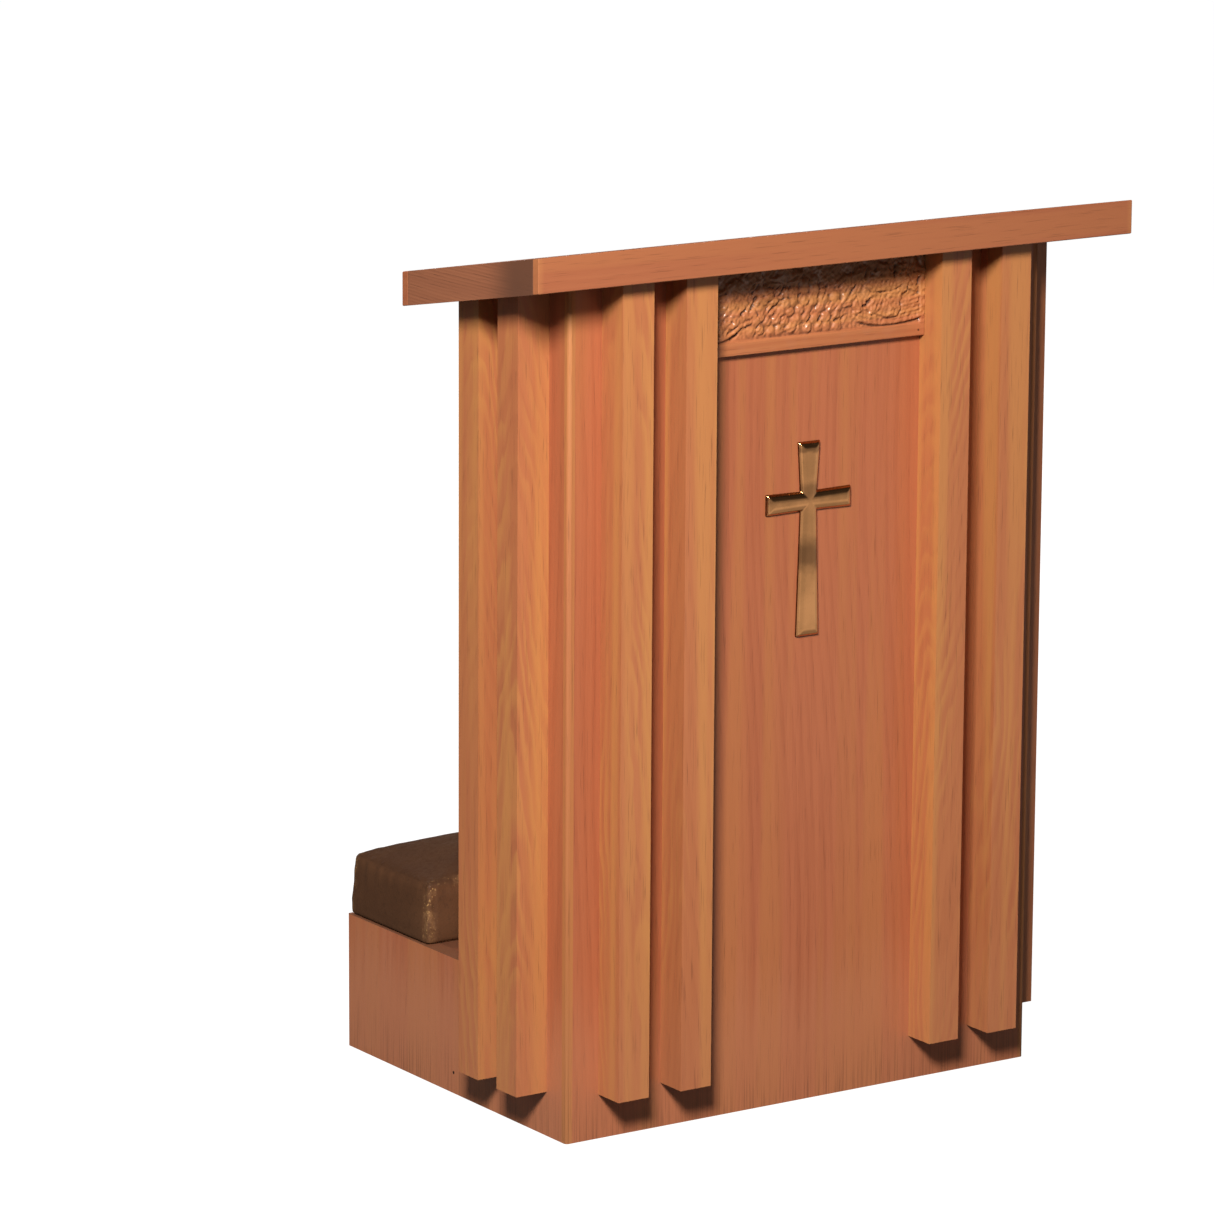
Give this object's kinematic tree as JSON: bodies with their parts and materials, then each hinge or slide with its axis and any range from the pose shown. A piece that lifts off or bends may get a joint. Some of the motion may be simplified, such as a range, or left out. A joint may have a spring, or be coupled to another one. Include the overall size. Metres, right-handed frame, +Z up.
{
  "type": "kneeling prayer desk",
  "caption": "Kneeling prayer desk: battened upright box with a thick sloping top, carved frieze and cross in front, open book shelf and a low padded kneeler behind.",
  "frame": {"origin": "on the floor, at the middle of the overall footprint", "axes": "+X to the right seen from the carved front, -Y towards the carved front, +Z up"},
  "size_m": [0.748, 0.492, 0.944],
  "materials": {
    "veneered_panel": "satin",
    "desk_wood": "satin",
    "solid_wood": "satin",
    "plain_wood": "matte",
    "brass": "polished",
    "zinc_steel": "satin",
    "pad_leatherette": "satin",
    "pad_foam": "matte"
  },
  "bodies": {
    "root": {"front_panel": "veneered_panel", "left_side_panel": "veneered_panel", "right_side_panel": "veneered_panel", "corner_bead_left": "solid_wood", "corner_bead_right": "solid_wood", "corner_post_left": "plain_wood", "corner_post_right": "plain_wood", "front_batten_left_outer": "solid_wood", "front_batten_left_inner": "solid_wood", "front_batten_right_inner": "solid_wood", "front_batten_right_outer": "solid_wood", "side_batten_left_front": "solid_wood", "side_batten_left_rear": "solid_wood", "side_batten_right_front": "solid_wood", "side_batten_right_rear": "solid_wood", "batten_screws": "zinc_steel", "carved_frieze": "solid_wood", "frieze_pins": "zinc_steel", "brass_cross": "brass", "cross_studs": "brass", "desk_top_core": "desk_wood", "desk_lipping_front": "desk_wood", "desk_lipping_rear": "desk_wood", "desk_lipping_left": "desk_wood", "desk_lipping_right": "desk_wood", "desk_cleat_front": "plain_wood", "desk_cleat_left": "plain_wood", "desk_cleat_right": "plain_wood", "desk_screws": "zinc_steel", "cleat_screws": "zinc_steel", "book_shelf": "veneered_panel", "shelf_lipping": "solid_wood", "back_panel": "veneered_panel", "back_cleat_left": "plain_wood", "back_cleat_right": "plain_wood", "back_panel_screws": "brass", "upright_lipping_left": "solid_wood", "upright_lipping_right": "solid_wood", "kneeler_board": "veneered_panel", "kneeler_lipping": "solid_wood", "kneeler_end_panel": "veneered_panel", "kneeler_rail_front": "plain_wood", "kneeler_rail_middle": "plain_wood", "kneeler_cleats_left": "plain_wood", "kneeler_cleats_right": "plain_wood", "rail_dowels": "plain_wood", "pad_board": "plain_wood", "pad_foam": "pad_foam", "pad_cover": "pad_leatherette", "pad_screws": "zinc_steel"}
  },
  "joints": []
}
